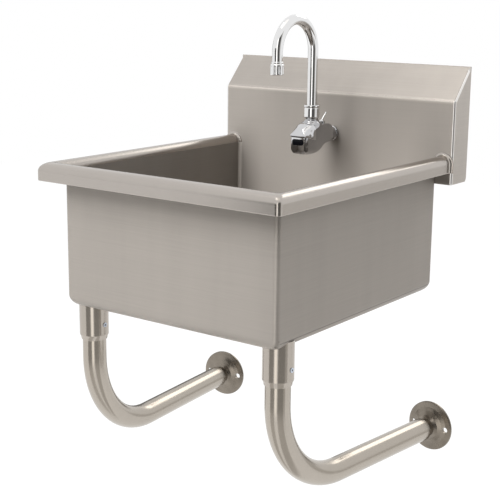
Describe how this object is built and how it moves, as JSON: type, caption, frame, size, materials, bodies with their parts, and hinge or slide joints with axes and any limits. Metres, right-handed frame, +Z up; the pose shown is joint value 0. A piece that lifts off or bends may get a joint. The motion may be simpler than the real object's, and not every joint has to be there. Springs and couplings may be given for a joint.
{
  "type": "wall-hung hand sink",
  "caption": "Wall-hung stainless hand sink with coved bowl, rolled rim, sloped backsplash, sensor gooseneck tap, strainer drain and bent tube legs with flanged wall feet.",
  "frame": {"origin": "centre of the wall bracket on the wall, where the sink hangs", "axes": "+X to the right along the wall as seen by the user, +Y into the wall, +Z up; the user stands on the -Y side"},
  "size_m": [0.5764, 0.58, 0.7915],
  "materials": {
    "sheet_steel": "brushed satin",
    "tube_steel": "satin",
    "cast_steel": "dull cast",
    "galvanised_steel": "zinc plated",
    "screw_steel": "bright",
    "strainer_steel": "satin",
    "brass": "turned",
    "chrome": "polished",
    "rubber": "matte",
    "black_plastic": "matte",
    "window_black": "gloss"
  },
  "bodies": {
    "sink": {"bowl": "sheet_steel", "rim_front": "sheet_steel", "rim_left": "sheet_steel", "rim_right": "sheet_steel", "backsplash": "sheet_steel", "splash_end_left": "sheet_steel", "splash_end_right": "sheet_steel", "hanger_rail": "sheet_steel", "leg_socket_left": "sheet_steel", "leg_socket_right": "sheet_steel", "wall_bracket": "galvanised_steel", "set_screw_left": "screw_steel", "set_screw_right": "screw_steel", "strainer_body": "strainer_steel", "strainer_gasket": "rubber", "strainer_locknut": "strainer_steel", "tailpiece": "chrome", "slip_nut": "chrome", "faucet_body": "chrome", "faucet_hood": "chrome", "sensor_window": "window_black", "spout_nut": "chrome", "faucet_gasket": "rubber", "faucet_shank": "brass", "shank_washer": "screw_steel", "shank_locknut": "brass"},
    "left_leg": {"support_leg_left": "tube_steel", "foot_insert_left": "brass"},
    "right_leg": {"support_leg_right": "tube_steel", "foot_insert_right": "brass"},
    "left_foot": {"wall_foot_left": "cast_steel"},
    "right_foot": {"wall_foot_right": "cast_steel"},
    "basket": {"strainer_basket": "strainer_steel", "basket_knob": "strainer_steel"},
    "lever": {"temperature_lever": "chrome"},
    "spout": {"gooseneck_spout": "chrome", "aerator_housing": "chrome", "aerator_insert": "black_plastic"}
  },
  "joints": [
    {"name": "left_leg_swivel", "type": "hinge", "parent": "sink", "child": "left_leg", "pos_m": [-0.197, -0.502, -0.34], "axis": [0, 0, 1], "range_deg": [-6, 30]},
    {"name": "right_leg_swivel", "type": "hinge", "parent": "sink", "child": "right_leg", "pos_m": [0.197, -0.502, -0.34], "axis": [0, 0, 1], "range_deg": [-30, 6]},
    {"name": "left_foot_extend", "type": "slide", "parent": "left_leg", "child": "left_foot", "axis": [-0.1045, 0.9945, 0], "range_m": [0, 0.067]},
    {"name": "right_foot_extend", "type": "slide", "parent": "right_leg", "child": "right_foot", "axis": [0.1045, 0.9945, 0], "range_m": [0, 0.067]},
    {"name": "spout_swivel", "type": "hinge", "parent": "sink", "child": "spout", "pos_m": [0, -0.127, 0], "axis": [0, 0, 1], "range_deg": [-90, 90]},
    {"name": "lever_turn", "type": "hinge", "parent": "sink", "child": "lever", "pos_m": [0, -0.094, -0.013], "axis": [0, 0, 1], "range_deg": [-45, 45]},
    {"name": "basket_lift", "type": "slide", "parent": "sink", "child": "basket", "axis": [0, 0, 1], "range_m": [0, 0.06]}
  ]
}
